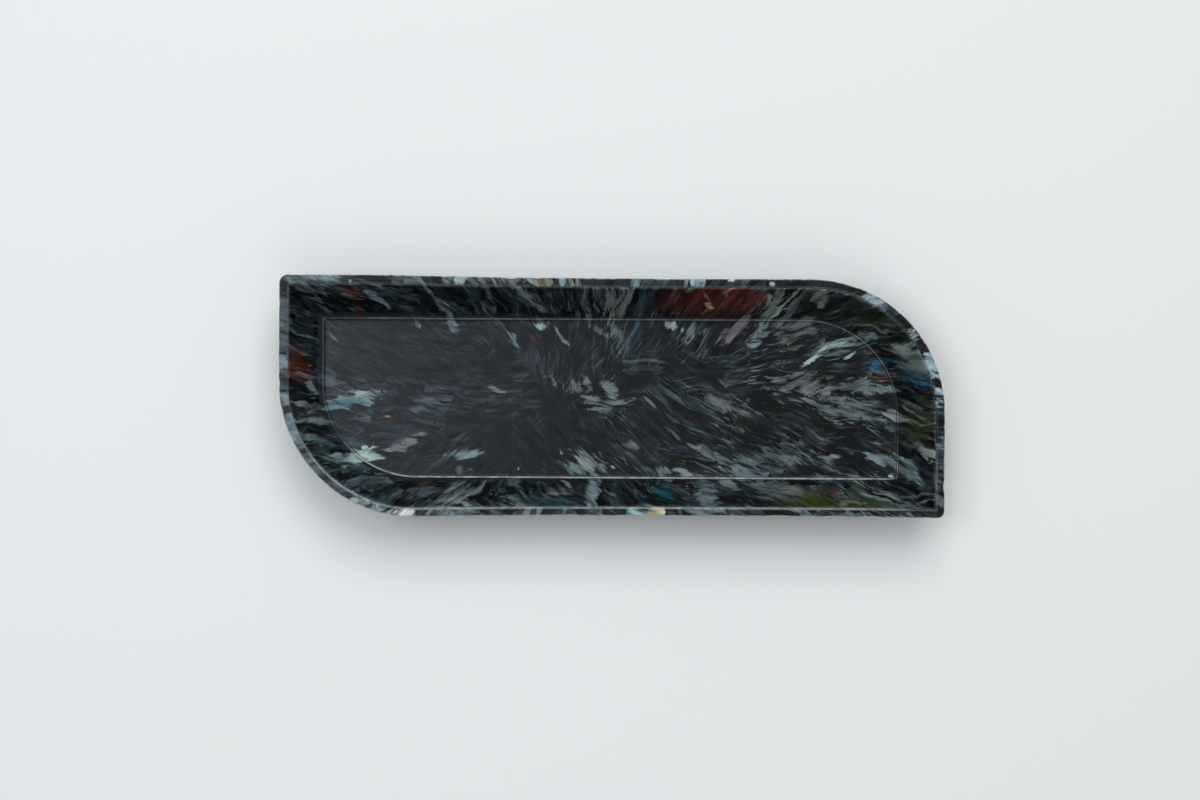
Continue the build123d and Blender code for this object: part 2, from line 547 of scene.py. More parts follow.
# Chips of colour on the rim: colour, from x, y to x, y (mm), strength, fray
rimChips = [
    ("slate", -109, 37, -109, -1, 0.85, 1.2), ("paleSlate", -108, 39, -89.5, 39, 0.85, 0.6),
    ("paleSlate", -109, 13.5, -109, 10, 0.8, 0.5), ("mint", -87, 38.2, -86.6, 38, 0.6, 0.3),
    ("sage", -72.6, 39, -70.3, 39, 0.8, 0.5), ("paleSlate", -56.4, 39, -53.8, 39, 0.8, 0.5),
    ("mint", -52, 39, -49.8, 39, 0.8, 0.5), ("paleSage", -43, 39, -28.5, 39, 0.55, 1.8),
    ("cream", -25.6, 39, -21, 39, 0.4, 0.8), ("brown", -24.2, 38.6, -23.2, 38.5, 0.8, 0.3),
    ("paleBlue", -17, 39, -16.2, 39, 0.9, 0.2), ("tealGrey", 9.5, 39, 17.5, 39, 0.9, 0.6),
    ("paleBlue", 26, 39, 30.3, 39, 0.95, 0.6), ("white", 38.8, 37.7, 40.2, 37.7, 0.6, 1.4),
    ("mint", 52.5, 37.6, 54.5, 37.4, 0.7, 0.6), ("ink", 72, 38.4, 82, 35.4, 0.65, 0.5),
    ("paleBlue", 83.6, 34.6, 89.8, 29.8, 0.95, 1.1), ("ink", 91, 28.6, 97.2, 23.4, 0.55, 0.7),
    ("paleBlue", 98.2, 22.5, 100.5, 19.5, 0.95, 0.9), ("ink", 101, 19, 103.6, 15.6, 0.7, 0.4),
    ("paleBlue", 104.6, 15, 107.8, 7, 1.0, 1.7), ("paleBlue", 108.6, 4, 109, -3, 1.0, 1.8),
    ("paleSlate", 109, -13, 109, -16, 0.9, 0.6), ("slate", 109, -19, 109, -36, 0.8, 1.6),
    ("paleSlate", -108.7, 1, -107.9, -3, 0.95, 0.5), ("brown", -107.7, -4, -107, -6.5, 0.9, 0.3),
    ("paleSlate", -106.8, -7, -105.2, -10.5, 0.85, 0.5), ("paleSlate", -105, -11, -102, -15.8, 0.95, 0.7),
    ("ink", -101.6, -16.6, -99.8, -20, 0.5, 0.6), ("slate", -99.4, -20.8, -91.2, -30.4, 0.6, 1.2),
    ("mint", -86, -33.8, -81, -36.2, 0.75, 0.9), ("brown", -83.4, -35.2, -82, -35.8, 0.7, 0.3),
    ("paleBlue", -80.6, -36.4, -69.5, -38.7, 0.95, 0.9), ("white", -71, -38.6, -64.8, -39, 0.95, 0.5),
    ("brown", -64, -39, -61.8, -39, 0.85, 0.1), ("paleSlate", -60.6, -39, -36, -39, 0.5, 1.2),
    ("slate", -10, -39, -3.6, -39, 0.7, 0.9), ("paleSlate", 62, -39.6, 104, -39.6, 0.5, 2.2),
    ("paleBlue", 7, -38.4, 12, -38.6, 0.9, 0.8), ("cream", 11.8, -38.4, 15.8, -38.4, 0.9, 0.4),
    ("paleSlate", 24.7, -38.4, 37, -38.8, 0.8, 1.1),
]

# Larger smears: colour, from x, y to x, y, width (all mm), strength, fray
smears = [
    # left wall
    ("slate", -106.5, 23.2, -104.4, 20.6, 2.2, 0.8, 0.5), ("rust", -106.6, 16, -106.2, 5, 9.5, 1.0, 0.05),
    ("lilac", -107.5, 9, -97, 5.6, 0.8, 0.8, 0.4), ("paleSage", -102, 5.5, -99.4, 1.4, 2, 0.85, 0.5),
    ("paleSage", -106, -2, -98.8, -3.8, 1.9, 0.95, 0.35), ("brown", -106.5, -5, -95, -6, 3, 0.7, 0.6),
    ("paleSlate", -106, -8, -93.4, -9, 2.2, 0.75, 0.5),
    ("paleSlate", -103, -13.4, -91.5, -17.4, 2.5, 0.85, 0.5), ("blue", -97, -16, -91, -17.6, 2, 0.7, 0.5),
    # back wall
    ("lilac", -105, 36.2, -96, 31, 1, 0.5, 0.6), ("lilac", -103, 36.6, -94, 33, 0.9, 0.45, 0.6),
    ("rust", -89.5, 36.8, -83, 34.2, 3.8, 1.0, 0.5), ("rust", -87, 32, -84, 27.5, 3.4, 0.6, 0.5),
    ("paleBlue", -83.6, 36.6, -73, 28.4, 2.4, 1.0, 0.45), ("brown", -73.6, 31, -71, 30.3, 0.9, 0.7, 0.3),
    ("slate", -70.5, 35.6, -64, 30.4, 2.6, 0.7, 0.7), ("paleSlate", -64, 36.8, -50.5, 23, 1.5, 0.8, 0.5),
    ("sage", -33.5, 36, -26.5, 32.8, 4.2, 1.0, 0.9), ("tealGrey", -37.5, 36, -21.5, 27.5, 1.7, 0.8, 0.6),
    ("paleSage", -27, 32.4, -21.4, 27.8, 1.6, 0.9, 0.5), ("sage", -9.6, 35, -7.4, 27, 2.2, 0.8, 0.6),
    ("taupe", 2.2, 38, 1.6, 28, 7.5, 1.0, 1.3), ("blue", 7.4, 29, 10, 21, 4, 0.6, 0.7),
    ("blue", 10, 35, 14, 31, 3, 0.45, 0.6), ("rust", 13, 32.4, 53, 32.4, 11, 0.9, 0.12),
    ("rust", 38, 34, 52, 32.4, 8, 0.9, 0.15), ("copper", 30.4, 31, 34, 30.6, 1.5, 0.95, 0.9),
    ("pink", 30, 34.8, 33, 31.5, 1.3, 0.8, 0.4), ("pink", 36, 32.4, 42.6, 36, 1.1, 0.8, 0.5),
    ("paleSage", 56.5, 36.6, 51, 26.4, 4.8, 0.9, 0.8), ("mint", 62, 36, 55, 28, 0.9, 0.8, 0.7),
    ("taupe", 66.5, 36, 53, 22.4, 2.1, 0.9, 0.5), ("green", 62, 34, 77, 28.6, 9, 0.65, 0.6),
    ("paleSage", 65.5, 35.6, 71.5, 31.4, 4, 0.7, 0.7), ("paleSage", 75, 35.2, 79, 34, 1.8, 0.7, 0.5),
    ("green", 78, 32, 95, 18, 12, 0.85, 0.6), ("paleSage", 80, 24.3, 97.5, 22, 1.1, 0.6, 0.4),
    # right wall
    ("paleSage", 94.5, 18, 100.6, 15.2, 3.4, 1.0, 0.6), ("sage", 95, 12, 105.5, 12.4, 7, 0.95, 0.6),
    ("blue", 96.5, 7.6, 106.5, 7, 4.6, 0.95, 0.5), ("green", 101, 2.6, 107, 0.4, 4.4, 0.8, 0.6),
    ("green", 99, -5, 107.5, -10, 13, 0.95, 0.4), ("olive", 99.5, -6, 107, -9.5, 8, 0.5, 0.5),
    ("taupe", 99.5, -14, 103.8, -15.5, 1.7, 0.8, 0.5), ("paleSage", 103, -17, 107, -21, 2.8, 0.95, 0.6),
    ("sage", 97, -1, 106.5, -3, 2.4, 0.85, 0.8),
    # front wall
    ("tealGrey", -97, -23.4, -82, -24.4, 2.2, 0.5, 0.8), ("slate", -92, -30, -72, -27.6, 3.2, 0.75, 0.9),
    ("slate", -76, -33.4, -58, -31.6, 2.6, 0.65, 0.8), ("brown", -68, -29, -57, -29.4, 3, 0.5, 0.6),
    ("sage", -57, -36, -49.5, -31.6, 4.4, 0.95, 1.0), ("sage", -51, -32, -42, -29, 2.4, 0.85, 0.8),
    ("tealGrey", -43, -29.4, -34, -27.8, 2.2, 0.85, 0.7), ("ink", -43, -32.6, -33, -33.4, 5.5, 0.9, 0.8),
    ("paleSage", -53, -34.8, -43.6, -35.6, 1.8, 0.95, 0.9),
    ("lilac", -50, -33.2, -42, -34.6, 0.9, 0.8, 0.6), ("slate", -37.5, -27.6, -30, -29.6, 2.3, 0.8, 0.5),
    ("tealGrey", -36.5, -32, -14, -35, 4, 0.95, 0.9), ("sage", -36, -31.8, -30.5, -33, 1.8, 0.85, 0.6),
    ("lilac", -30.5, -34, -27.5, -35.6, 2.2, 0.75, 0.5),
    ("deepTeal", -25, -34.6, -15, -35.4, 2, 0.7, 0.6), ("slate", -22.5, -31, -14, -31, 2.6, 0.9, 0.8),
    ("lilac", -21.4, -31.6, -16, -32.2, 1.3, 0.95, 0.5), ("lilac", -18, -28.6, -13.5, -29, 0.8, 0.9, 0.4),
    ("ink", -2.6, -28.5, -2.2, -36, 4.5, 0.9, 0.5), ("paleSlate", -7, -25.5, -6.4, -39, 4.6, 1.0, 0.5),
    ("ink", 0, -31.5, 11, -35.5, 6.5, 0.9, 0.5), ("deepTeal", 15.5, -28, 20, -33.4, 4.2, 0.8, 0.5),
    ("paleSlate", 30.5, -28, 33, -36.5, 5.6, 0.8, 0.7), ("paleSage", 36, -26, 43, -30.6, 2.5, 0.9, 0.7),
    ("taupe", 47, -28.5, 66, -34, 5.2, 0.7, 0.9), ("paleSage", 57.5, -31, 65, -33.5, 2.1, 0.8, 0.6),
    ("olive", 52, -34.4, 84, -35.4, 7.4, 1.0, 0.3), ("olive", 72, -35, 98, -35.6, 5, 0.85, 0.4),
    ("rust", 70, -29.5, 78, -32.5, 3.2, 0.5, 0.6), ("sage", 74, -34.3, 85, -35, 0.9, 0.7, 0.6),
    ("taupe", 78.5, -25.8, 87, -29.6, 1.0, 1.0, 0.3), ("taupe", 86.5, -29.4, 95, -32.8, 1.0, 1.0, 0.3),
    ("taupe", 94.5, -32.6, 101.2, -33, 1.0, 1.0, 0.3), ("paleSage", 80, -27.8, 88, -31.2, 0.7, 0.9, 0.3),
    ("paleSage", 87.4, -30.9, 96, -34, 0.7, 0.9, 0.3), ("taupe", 100.6, -33, 107, -30.2, 1.0, 0.9, 0.3),
    ("paleSlate", 84, -31.6, 94, -35, 1.1, 0.85, 0.3),
    ("paleSlate", 93.4, -34.9, 101.6, -35.4, 1.1, 0.85, 0.3),
    ("paleSlate", 101, -35.4, 108, -32.6, 1.1, 0.85, 0.3), ("slate", 90, -36, 104, -35.5, 2.2, 0.6, 0.8),
    # soft clouds on the floor's left half, and dark stretches on its right
    ("cloud", -98, 5, -74, -1, 10, 0.9, 1.2), ("cloud", -72, 2.5, -50, -2.5, 9, 0.9, 1.2),
    ("cloud", -50, 4, -28, -3, 9, 0.8, 1.2), ("cloud", -62, 25, -44, 17, 7, 0.65, 1.2),
    ("cloud", -86, -13, -60, -12, 7, 0.65, 1.2), ("cloud", -30, 14, -12, 6, 8, 0.65, 1.2),
    ("ink", 77, -22.3, 96, -23.5, 6, 0.8, 0.7), ("ink", 91, -5, 94, -18, 6, 0.75, 0.6),
    ("ink", 54, 21, 63, 16.5, 6.5, 0.75, 0.7), ("ink", 45, 2, 54, -3, 6.5, 0.75, 0.7),
    ("ink", 8, -4, 26, -9, 7, 0.6, 0.7), ("ink", 30, -14, 44, -22, 6, 0.6, 0.7),
    ("slate", 47, -17.5, 60, -24, 6.5, 0.8, 0.9), ("paleSlate", 38, -23.4, 54, -27, 4.4, 0.8, 0.9),
    ("slate", 46, -26.5, 58, -31, 5, 0.8, 0.8), ("sage", 55, -20.4, 67, -22, 2.4, 0.85, 0.7),
    # floor, back half
    ("lilac", -97, 22, -93.4, 19.4, 1.1, 0.8, 0.4), ("sage", -67.5, 27, -65, 23, 1.7, 0.7, 0.6),
    ("paleSlate", -56, 26.5, -50.5, 22.5, 1.7, 0.7, 0.5), ("slate", -97, 7.5, -90, 0, 5.5, 0.8, 0.7),
    ("paleBlue", -88, 1, -80, -1.5, 2.6, 0.9, 0.7), ("slate", -40, 26, -36, 22.4, 1.9, 0.9, 0.5),
    ("paleSlate", -35.5, 22, -31.4, 17, 2, 0.75, 0.7), ("slate", -27, 27, -21, 23, 3.6, 0.8, 0.6),
    ("mint", -26, 24.2, -23, 22.3, 2.3, 1.0, 0.5), ("paleSlate", -20, 23.4, -14, 16.5, 1.3, 0.8, 0.6),
    ("sage", 0, 26, 3.6, 19, 4, 0.85, 0.7), ("taupe", -6.5, 25, -1.5, 21, 1.7, 0.8, 0.7),
    ("rust", -27.5, 21, -22.5, 17.4, 3.2, 0.35, 0.5), ("taupe", -21, 6, -8, 0.5, 3.4, 0.7, 1.1),
    ("lilac", -10, 6, -7.4, 2.4, 2.1, 0.7, 0.6), ("sage", -3, 5.8, 1.6, -0.4, 4.2, 0.8, 0.7),
    ("lilac", -40, 3, -35.4, 0.5, 1.6, 0.8, 0.7), ("mint", 18, 24.6, 22.5, 22.4, 2.1, 0.7, 0.9),
    ("sage", 28, 24.8, 24, 17.4, 2.8, 0.8, 0.6), ("lilac", 47, 27.5, 36, 17.4, 3, 0.7, 0.8),
    ("paleSlate", 52.5, 25, 46.4, 17.4, 4.2, 0.7, 1.4), ("taupe", 66, 24.8, 55, 18, 6.2, 0.75, 0.9),
    ("slate", 64, 25.3, 68, 21.4, 3.1, 0.9, 0.6), ("paleSlate", 62, 12.4, 86, 21, 4.4, 0.85, 1.0),
    ("mint", 62.6, 11, 72, 14.6, 2.2, 0.95, 0.8), ("mint", 69, 15.4, 82.6, 20, 1.3, 0.85, 0.7),
    ("paleBlue", 77.4, 13.3, 82, 15.6, 1.4, 1.0, 0.3), ("taupe", 55, 5, 77, 3, 6.4, 0.95, 0.8),
    ("sage", 75, 4, 93, 3.4, 4.2, 0.85, 0.7), ("rust", 87, 6.8, 95, 6.3, 2.1, 0.25, 0.7),
    ("blue", 84.5, 10.5, 93, 10.5, 3.5, 0.95, 0.5), ("deepTeal", 89.5, 12.6, 96, 13, 3, 0.6, 0.5),
    ("paleSlate", 91.5, 4, 97, 2.8, 2.1, 0.8, 0.6),
    # floor, front half
    ("paleSlate", -98, -5, -79, 0.5, 4.2, 0.9, 0.9), ("mint", -87.5, -0.5, -83.4, 0.7, 1.9, 0.8, 0.5),
    ("blue", -97, -4.4, -84, -2.4, 2.6, 0.75, 0.9), ("slate", -94.5, -8.5, -78, -6.5, 3.1, 0.9, 0.6),
    ("slate", -68, -4, -54, -1, 3.6, 0.8, 0.9), ("rust", -77.5, -6, -74.5, -7.6, 1.7, 0.6, 0.5),
    ("pink", -76, -6.6, -75.2, -7, 0.8, 0.8, 0.3), ("tealGrey", -91.5, -16, -81, -15.4, 3.1, 0.9, 0.6),
    ("mint", -90, -21.6, -75.5, -17.8, 4.8, 1.0, 0.6), ("lilac", -76, -18, -64.4, -14.4, 2.8, 0.9, 0.6),
    ("paleSlate", -95, -20, -87.4, -21, 2.5, 0.95, 0.5),
    ("paleSlate", -55.5, -20, -44.4, -18, 3, 0.95, 0.6), ("sage", -10.5, -3, 3, -1.4, 5.6, 0.75, 1.1),
    ("lilac", 10, -1, 15, -4.6, 1.7, 0.9, 0.5), ("paleSlate", -15.5, -20.6, -11, -25.6, 4.2, 0.9, 0.8),
    ("paleSage", -13.4, -19.6, -3.2, -22.8, 5.6, 0.95, 0.8),
    ("sage", -5.4, -21, -2, -25.6, 3.4, 0.95, 0.6), ("lilac", -6.4, -25.4, -4, -28.4, 2, 0.8, 0.5),
    ("lilac", -53.2, -24.6, -50.9, -24.6, 2.4, 0.5, 0.2),
    ("lilac", -49.6, -24, -46.8, -25.6, 0.5, 0.8, 0.2), ("taupe", 4, -15.2, 9.8, -17.2, 1.9, 0.9, 0.5),
    ("gold", -32.3, -25.3, -31.7, -25.3, 0.8, 1.0, 0.1), ("gold", 4.4, -20.6, 5.6, -21.8, 0.7, 0.3, 1.2),
    ("mint", 0, -23, 2.4, -23.8, 0.9, 0.8, 0.3), ("tealGrey", 9.7, -23.5, 14.5, -24.8, 1.4, 1.0, 0.4),
    ("sage", 15.5, -23.5, 20.5, -27, 3.1, 0.9, 0.8), ("paleSage", 23, -24.8, 27, -27.6, 2.3, 0.9, 1.3),
    ("navy", 21.4, -16, 27, -19, 3.7, 0.9, 0.5), ("sage", 28.4, -17, 40.6, -21.6, 3.2, 0.95, 0.8),
    ("sage", 40.5, -20, 54.6, -21.6, 1.7, 0.9, 0.5), ("taupe", 31, 0.5, 44, -4.6, 5.2, 0.85, 0.9),
    ("paleSage", 70, -19.6, 78, -21, 1.2, 0.8, 0.5), ("paleSlate", 69, -26, 73.6, -28, 2.1, 0.7, 0.6),
    ("sage", 64, -2, 98, -6, 6.6, 0.75, 1.0), ("paleSage", 91, -4.4, 99, -7.4, 3.5, 0.7, 0.7),
    ("slate", 91, -9.2, 97.6, -10.8, 1.7, 0.9, 0.5),
    ("paleSlate", 84.5, -19.4, 99.5, -21.6, 3.0, 0.9, 0.8),
    ("paleSlate", 97.5, -21.6, 103, -27.6, 3.4, 0.9, 0.6), ("sage", 94, -21.8, 99.4, -25, 2, 0.8, 0.6),
    ("mint", 93.5, -26, 95, -26.8, 1.2, 0.7, 0.5), ("taupe", 71, -23.4, 79, -26, 1.0, 1.0, 0.3),
]


def flowGroup(look):
    # Curves that leave a short line in the middle square on and fan out towards the ends
    span = look["flowSpan"]
    tree, given, made = newGroup("marbleFlow", {"Place": "Vector"}, {"Flow": "Vector"})
    x, y, _ = separate(tree, given["Place"])
    flat = combine(tree, x, y, 0.0)
    toLeft = vectors(tree, "DISTANCE", flat, (-span, 0, 0), result="Value")
    toRight = vectors(tree, "DISTANCE", flat, (span, 0, 0), result="Value")
    reach = maths(tree, "DIVIDE", maths(tree, "ADD", toLeft, toRight), 2 * span)
    reach = maths(tree, "MAXIMUM", reach, 1.0001)
    excess = maths(tree, "SQRT", maths(tree, "SUBTRACT", maths(tree, "MULTIPLY", reach, reach), 1.0))
    along = maths(tree, "LOGARITHM", maths(tree, "ADD", reach, excess), math.e)
    across = maths(tree, "DIVIDE", maths(tree, "SUBTRACT", toLeft, toRight), 2 * span)
    side = maths(tree, "SUBTRACT", 1.0, maths(tree, "MULTIPLY", across, across))
    side = maths(tree, "SQRT", maths(tree, "MAXIMUM", side, 0.0))
    side = maths(tree, "MULTIPLY", side, maths(tree, "SIGN", y))
    flow = combine(tree, across, side, along)
    feed(tree, made["Flow"], vectors(tree, "MULTIPLY", flow, (span, span, span)))
    return tree


def strokeGroup(look):
    # Patches of strokes: each patch lies one way, outwards from the middle and turned a little by chance.
    # Stroke holds the place across and along the strokes and, in z, the patch's own number
    tree, given, made = newGroup("strokePatch", {"Place": "Vector", "Size": "Float"}, {"Stroke": "Vector"})
    size = evenly(tree, given["Size"])
    ragged = drift(tree, given["Place"], 0.3, 3.0, 0.6)
    ragged = vectors(tree, "MULTIPLY_ADD", ragged, (look["ragged"],) * 3, given["Place"])
    cells = cellField(tree, vectors(tree, "DIVIDE", ragged, size))
    middle = vectors(tree, "MULTIPLY", cells["Position"], size)
    turnLot, seedLot, _ = separate(tree, cells["Color"])
    x, y, _ = separate(tree, middle)
    slanted = combine(tree, maths(tree, "MULTIPLY_ADD", y, -look["slant"], x), y, 0.0)

    def away(end):
        # Away from one end of the middle line, weaker close to it
        gap = vectors(tree, "SUBTRACT", slanted, (end, 0, 0))
        far = maths(tree, "SQRT", maths(tree, "ADD", dot(tree, gap, gap), 600.0))
        return vectors(tree, "DIVIDE", gap, evenly(tree, far))

    def zone(across, along, strength):
        return times(tree, ramp(tree, y, *across, 0.0, strength), ramp(tree, x, *along))

    def sideways(vector):
        alongX, alongY, _ = separate(tree, vector)
        return combine(tree, maths(tree, "MULTIPLY", alongY, -1.0), alongX, 0.0)

    heading = vectors(tree, "ADD", away(-look["strokeSpan"]), away(look["strokeSpan"]))
    # In the middle, and more so along the front, the strokes lie over to the right
    front = maths(tree, "MAXIMUM", zone(*look["frontFloor"]), zone(*look["frontWall"]))
    front = times(tree, front, ramp(tree, x, *look["frontFade"]))
    pull = maths(tree, "MULTIPLY_ADD", front, look["frontPull"], ramp(tree, x, *look["middlePull"]))
    heading = vectors(tree, "MULTIPLY_ADD", evenly(tree, pull), look["frontHeading"], heading)
    left = zone(*look["frontLeft"])
    heading = vectors(tree, "MULTIPLY_ADD", evenly(tree, left), look["leftHeading"], heading)
    heading = vectors(tree, "NORMALIZE", heading)
    turn = maths(tree, "MULTIPLY", maths(tree, "SUBTRACT", turnLot, 0.5), look["swing"])
    turned = vectors(tree, "MULTIPLY", sideways(heading), evenly(tree, turn))
    heading = vectors(tree, "NORMALIZE", vectors(tree, "ADD", heading, turned))
    offset = vectors(tree, "SUBTRACT", given["Place"], middle)
    across = dot(tree, offset, sideways(heading))
    along = dot(tree, offset, heading)
    feed(tree, made["Stroke"], combine(tree, across, along, maths(tree, "MULTIPLY", seedLot, 90.0)))
    return tree


def smearGroup():
    # One given smear: an oval with combed-out edges. Brush holds x, y and, in z, the fibres
    inputs = {"Brush": "Vector", "Along": "Vector", "Across": "Vector", "Start": "Float", "Side": "Float",
              "Blunt": "Float", "Fray": "Vector", "Soft": "Float", "Strength": "Float",
              "Under": "Color", "Tint": "Color"}
    tree, given, made = newGroup("smear", inputs, {"Colour": "Color"})
    along = maths(tree, "SUBTRACT", dot(tree, given["Brush"], given["Along"]), given["Start"])
    across = maths(tree, "SUBTRACT", dot(tree, given["Brush"], given["Across"]), given["Side"])
    far = maths(tree, "POWER", maths(tree, "ABSOLUTE", along), given["Blunt"])
    away = maths(tree, "MULTIPLY_ADD", across, across, far)
    combed = maths(tree, "ADD", dot(tree, given["Brush"], given["Fray"]), 1.0)
    depth = maths(tree, "DIVIDE", maths(tree, "SUBTRACT", combed, away), given["Soft"])
    mask = maths(tree, "MULTIPLY", maths(tree, "MINIMUM", depth, 1.0), given["Strength"])
    feed(tree, made["Colour"], blendColours(tree, mask, given["Under"], given["Tint"]))
    return tree


def marbledPlastic(look, shape):
    material, tree, shader = newMaterial("marbledPlastic")
    place, normal = placeInMm(tree)
    level = separate(tree, place)[2]
    facing = separate(tree, normal)[2]
    inside = ramp(tree, facing, -0.1, 0.1)
    rim = shape["rimLevel"]
    floor = shape["baseLevel"] + shape["floorThickness"]

    def stray(vector, scale, amount):
        step = vectors(tree, "MULTIPLY", drift(tree, place, scale, 1.5, 0.5), (amount,) * 3)
        return vectors(tree, "ADD", vector, step)

    # The outside has its own streaks
    shift = look["outsideShift"]
    lower = combine(tree, 0.0, 0.0, maths(tree, "MULTIPLY_ADD", inside, -shift, shift))
    strayed = stray(stray(place, *look["wander"]), *look["curl"])
    drawn = vectors(tree, "ADD", placeGroup(tree, flowGroup(look), Place=strayed)["Flow"], lower)
    strokePatch = strokeGroup(look)
    patchPlace = vectors(tree, "ADD", strayed, lower)
    broad, narrow = [placeGroup(tree, strokePatch, Place=patchPlace, Size=size)["Stroke"]
                     for size in look["patches"]]

    def streak(width, length, seed):
        strokes = broad if width > look["broadFrom"] else narrow
        scaled = vectors(tree, "DIVIDE", strokes, (width, length, 1.0))
        seeded = vectors(tree, "ADD", scaled, (0.0, 0.0, seed))
        return noiseField(tree, seeded, 1.0, 3.0, 0.5, twist=look["twist"])

    tone = ramp(tree, noiseField(tree, place, 0.05, 2.0, 0.5), 0.4, 0.6)
    cool, warm = look["baseColours"]
    colour = blendColours(tree, tone, toLinear(cool), toLinear(warm))
    lengthwise = separate(tree, strayed)[0]
    rightward = ramp(tree, lengthwise, *look["rightward"])
    onFloor = times(tree, ramp(tree, level, floor + 0.6, floor + 2.5, 1.0, 0.0), inside)
    # Painted sheen: the floor's left half is greyed, standing in for the overhead light's reflection
    sheenOnFloor = ramp(tree, lengthwise, *look["sheenReach"], look["sheenStrength"], 0.0)
    colour = blendColours(tree, times(tree, sheenOnFloor, onFloor), colour, toLinear(look["floorSheenGrey"]))
    calm = ramp(tree, rightward, 0.0, 1.0, *look["calm"])
    bare = ramp(tree, noiseField(tree, place, 0.075, 2.0, 0.5), 0.42, 0.58, *look["bareness"])
    calm = times(tree, bare, ramp(tree, onFloor, 0.0, 1.0, 1.0, calm))
    for seed, (tint, width, length, edge, soft, left, right, outside) in enumerate(look["streaks"].values()):
        within = maths(tree, "MULTIPLY_ADD", rightward, right - left, left)
        strength = times(tree, ramp(tree, inside, 0.0, 1.0, outside, within), calm)
        mask = ramp(tree, streak(width, length, 3.7 * seed + 1), edge, edge + soft, 0.0, strength)
        colour = blendColours(tree, mask, colour, toLinear(tint))

    # Fibres, which comb out the edges of the smears
    coarse = streak(1.8, 8.0, 41.0)
    fine = streak(0.5, 5.0, 53.0)
    fibre = maths(tree, "MULTIPLY_ADD", coarse, 4.0, maths(tree, "MULTIPLY_ADD", fine, 2.0, -3.0))
    x, y, _ = separate(tree, stray(strayed, *look["waver"]))
    # A clamped node here lets the renderer work through the smears in order, with few values held at once
    fibre = ramp(tree, fibre, -3.0, 3.0, -3.0, 3.0)
    brush = combine(tree, x, y, fibre)
    smear = smearGroup()

    def paint(under, brush, tint, x0, y0, x1, y1, width, strength, fray, blunt):
        # Equal nodes would be merged and the long chain would then outgrow the shader, so no two smears
        # are quite equal
        fray += 1e-5 * (x0 + 0.37 * y0)
        width *= 1 + 1e-5 * x0
        middle = Vector(((x0 + x1) / 2, (y0 + y1) / 2, 0))
        along = Vector((x1 - x0, y1 - y0, 0))
        across = Vector((-along.y, along.x, 0)).normalized() / (width * 0.64)
        along = along.normalized() / (along.length / 2 + width * 0.2)
        shade, soft = smearColours[tint]
        return placeGroup(
            tree, smear, Under=under, Tint=toLinear(shade), Brush=brush, Along=along, Across=across,
            Start=middle.dot(along), Side=middle.dot(across), Blunt=blunt, Fray=(0, 0, fray), Soft=soft * 2.1,
            Strength=strength)["Colour"]

    painted = colour
    for tint, x0, y0, x1, y1, width, strength, fray in smears:
        fray *= look["smearFray"]
        painted = paint(painted, brush, tint, x0, y0, x1, y1, width, strength, fray, look["smearEnds"])

    # Rim
    cells = cellField(tree, vectors(tree, "DIVIDE", drawn, rimBlocks["column"]))
    blocks = tree.nodes.new("ShaderNodeValToRGB")
    stops = blocks.color_ramp.elements
    blocks.color_ramp.interpolation = "CONSTANT"
    for index, (start, tint) in enumerate(rimBlocks["colours"]):
        stop = stops[0] if index == 0 else stops.new(start)
        stop.color = toLinear(tint)
    stops.remove(stops[-1])
    lot = maths(tree, "ADD", separate(tree, cells["Color"])[0], ramp(tree, x, *rimBlocks["rightEnd"]))
    feed(tree, blocks.inputs[0], lot)
    rimBrush = combine(tree, x, y, maths(tree, "MULTIPLY_ADD", lot, 0.6, maths(tree, "SUBTRACT", fibre, 0.3)))
    rimColour = blendColours(tree, ramp(tree, fibre, -0.5, 0.4, 0.45, 1.0), colour, blocks.outputs[0])
    for tint, x0, y0, x1, y1, strength, fray in rimChips:
        speck = tint in rimBlocks["specks"] and math.hypot(x1 - x0, y1 - y0) < rimBlocks["speckLength"]
        width = rimBlocks["speckWidth"] if speck else rimBlocks["chipWidth"]
        rimColour = paint(rimColour, rimBrush, tint, x0, y0, x1, y1, width, strength, fray, look["chipEnds"])
    painted = blendColours(tree, ramp(tree, level, rim - 0.65, rim - 0.3), painted, rimColour)
    colour = blendColours(tree, inside, colour, painted)

    # Dark fibres and a fine grain in every colour
    cut = ramp(tree, streak(2.4, 13.0, 71.0), 0.5, 0.6, 1.0, 1.0 - look["cuts"])
    comb = times(tree, ramp(tree, coarse, 0.35, 0.65, 0.66, 1.24), ramp(tree, fine, 0.3, 0.7, 0.8, 1.18))
    stripe = times(tree, comb, ramp(tree, calm, 0.0, 1.0, 1.0, cut))
    speckle = ramp(tree, noiseField(tree, place, 2.2, 2.0, 0.6), 0.3, 0.7, 0.88, 1.12)
    combed = tree.nodes.new("ShaderNodeVectorMath")
    combed.operation = "SCALE"
    feed(tree, combed.inputs[0], colour)
    feed(tree, combed.inputs["Scale"], times(tree, stripe, speckle))
